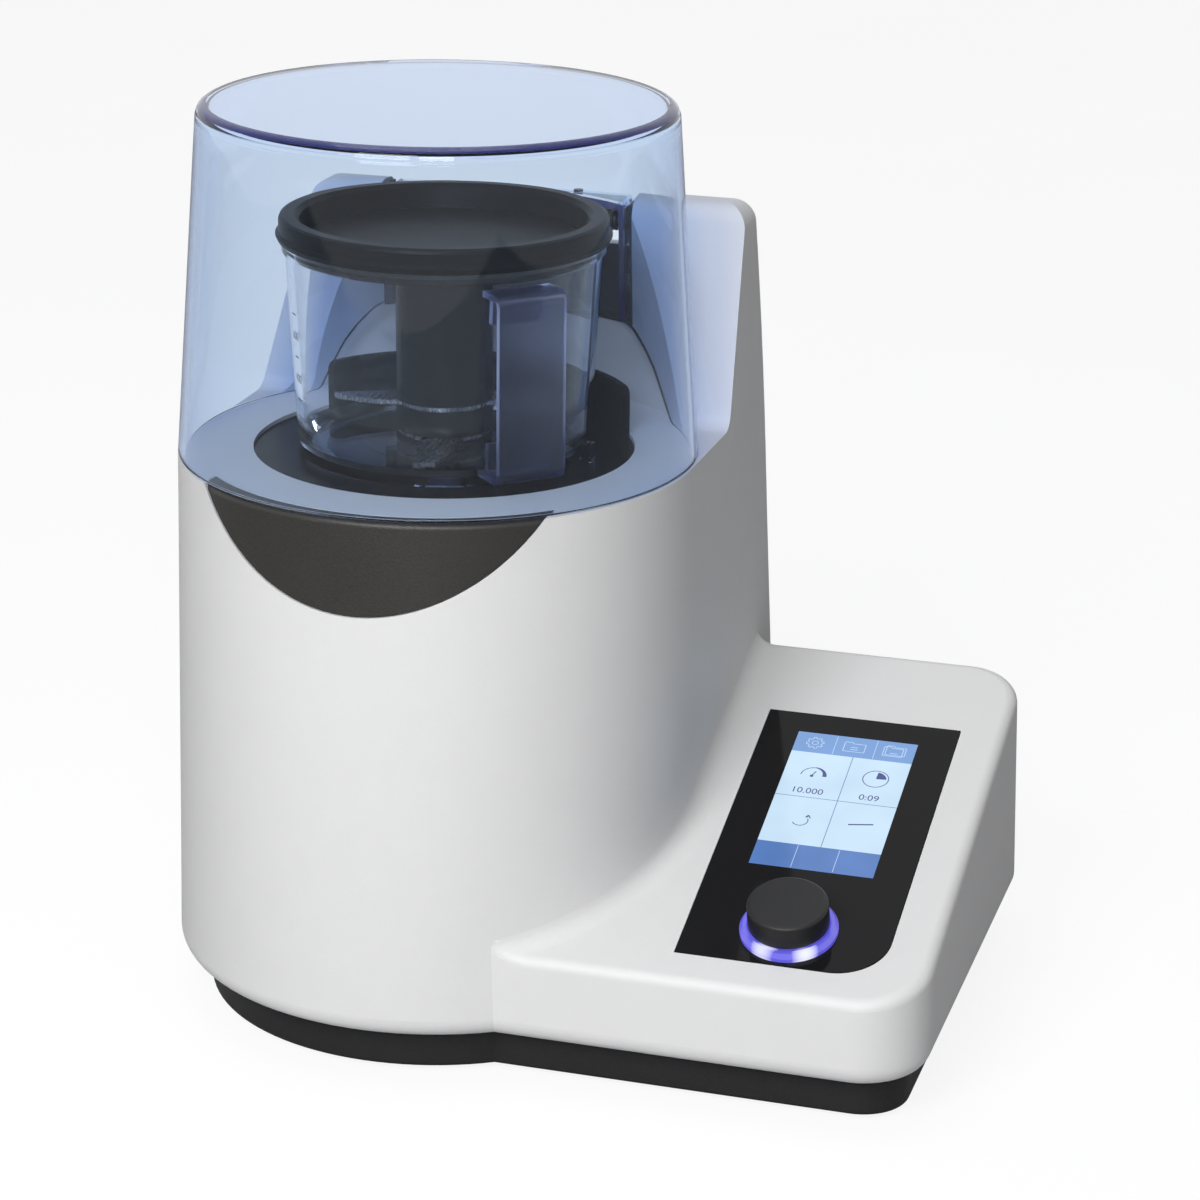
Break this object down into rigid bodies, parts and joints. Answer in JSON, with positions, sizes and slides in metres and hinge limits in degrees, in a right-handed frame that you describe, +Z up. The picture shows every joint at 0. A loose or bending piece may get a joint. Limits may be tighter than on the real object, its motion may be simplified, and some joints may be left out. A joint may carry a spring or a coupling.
{
  "type": "knife mill",
  "caption": "Bench knife mill with a clear hinged hood, a jar with a two-level knife, a sloping glass control panel and a round knob.",
  "frame": {"origin": "on the bench under the middle of the whole mill", "axes": "+Z up, -Y towards the user, +X to the user's right, where the control panel is"},
  "size_m": [0.35, 0.2747, 0.392],
  "materials": {
    "housing_white": "fine textured warm white moulding",
    "charcoal": "textured charcoal plastic",
    "black_satin": "satin black plastic",
    "rubber": "black rubber",
    "clear_hood": "clear smoke-blue plastic",
    "clear_jar": "clear plastic with a printed scale",
    "frosted": "frosted translucent plastic",
    "knife_steel": "ground stainless steel",
    "steel": "bare steel",
    "copper": "bare copper",
    "aluminium": "cast aluminium",
    "black_glass": "gloss black glass",
    "lcd": "lit display",
    "ring": "lit translucent ring",
    "board": "green circuit board with parts"
  },
  "bodies": {
    "mill": {"main_housing": "housing_white", "base_tray": "charcoal", "rubber_feet": "rubber", "base_screws": "steel", "grip_panel": "charcoal", "jar_seat": "black_satin", "seat_gasket": "rubber", "shaft_seal": "rubber", "motor_plate": "aluminium", "motor_can": "steel", "motor_foot": "black_satin", "upper_bearing": "steel", "lower_bearing": "steel", "stator_core": "steel", "brush_holders": "black_satin", "motor_isolators": "rubber", "motor_screws": "steel", "hinge_pin": "steel", "hinge_blocks": "steel", "hinge_springs": "steel", "hinge_well": "charcoal", "lock_solenoid": "black_satin", "hood_switch": "black_satin", "display_glass": "black_glass", "display_gasket": "rubber", "lcd_module": "lcd", "light_ring": "ring", "encoder_body": "black_satin", "control_board": "board", "power_board": "board", "mains_inlet": "black_satin", "power_switch": "black_satin", "rating_plate": "aluminium"},
    "drive": {"drive_shaft": "steel", "rotor_core": "steel", "commutator": "copper", "cooling_fan": "black_satin"},
    "knife": {"hub_foot": "black_satin", "hub_spacer": "black_satin", "knife_hub": "black_satin", "hub_plug": "black_satin", "lower_blades": "knife_steel", "upper_blades": "knife_steel"},
    "jar": {"jar": "clear_jar", "jar_handle": "frosted", "handle_pads": "frosted"},
    "lid": {"jar_lid": "black_satin", "lid_seal": "rubber"},
    "hood": {"hood": "clear_hood", "hinge_bracket": "steel", "bracket_screws": "steel"},
    "lock": {"lock_bolt": "steel"},
    "knob_push": {"push_plunger": "black_satin"},
    "knob": {"encoder_spindle": "steel", "knob_cap": "black_satin"},
    "rocker": {"power_rocker": "black_satin"}
  },
  "joints": [
    {"name": "drive_spin", "type": "hinge", "parent": "mill", "child": "drive", "pos_m": [-0.0608, -0.0163, 0.074], "axis": [0, 0, 1], "continuous": true},
    {"name": "knife_lift", "type": "slide", "parent": "drive", "child": "knife", "axis": [0, 0, 1], "range_m": [0, 0.014]},
    {"name": "jar_lift", "type": "slide", "parent": "mill", "child": "jar", "axis": [0, 0, 1], "range_m": [0, 0.014]},
    {"name": "lid_lift", "type": "slide", "parent": "jar", "child": "lid", "axis": [0, 0, 1], "range_m": [0, 0.024]},
    {"name": "hood_hinge", "type": "hinge", "parent": "mill", "child": "hood", "pos_m": [-0.0608, 0.0797, 0.3244], "axis": [-1, 0, 0], "range_deg": [0, 85]},
    {"name": "lock_slide", "type": "slide", "parent": "mill", "child": "lock", "axis": [-1, 0, 0], "range_m": [0, 0.0045]},
    {"name": "knob_press", "type": "slide", "parent": "mill", "child": "knob_push", "axis": [0, 0.299, -0.9542], "range_m": [0, 0.0015], "stiffness_N_per_m": 1500, "springref_m": -0.0015},
    {"name": "knob_turn", "type": "hinge", "parent": "knob_push", "child": "knob", "pos_m": [0.1122, -0.08609, 0.0745], "axis": [0, -0.299, 0.9542], "continuous": true},
    {"name": "rocker_tilt", "type": "hinge", "parent": "mill", "child": "rocker", "pos_m": [-0.0568, 0.13099, 0.074], "axis": [0, -0.1414, 0.99], "range_deg": [0, 14]}
  ],
  "couplings": [
    {"joint": "knife_lift", "follows": "jar_lift", "ratio": 1}
  ]
}
